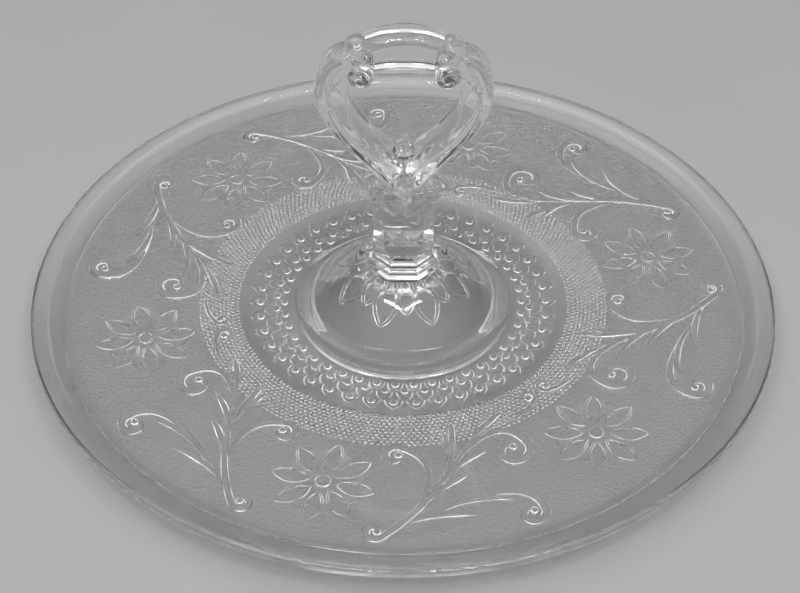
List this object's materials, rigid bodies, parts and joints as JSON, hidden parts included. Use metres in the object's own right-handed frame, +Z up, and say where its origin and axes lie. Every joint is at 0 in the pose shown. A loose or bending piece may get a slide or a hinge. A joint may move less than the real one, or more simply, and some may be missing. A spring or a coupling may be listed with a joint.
{
  "type": "handled cake plate",
  "caption": "Wide round clear pressed-glass cake plate with a hollow centre dome and an upright heart-shaped scroll handle for carrying it.",
  "frame": {"origin": "on the table, on the plate's axis, under the middle of the foot ring", "axes": "+Z up along the plate's axis; the handle's loop lies in the XZ plane; -Y faces the viewer"},
  "size_m": [0.33, 0.33, 0.1513],
  "materials": {
    "clear_glass": "clear, fire-polished pressed glass"
  },
  "bodies": {
    "root": {"plate": "clear_glass", "handle": "clear_glass"}
  },
  "joints": []
}
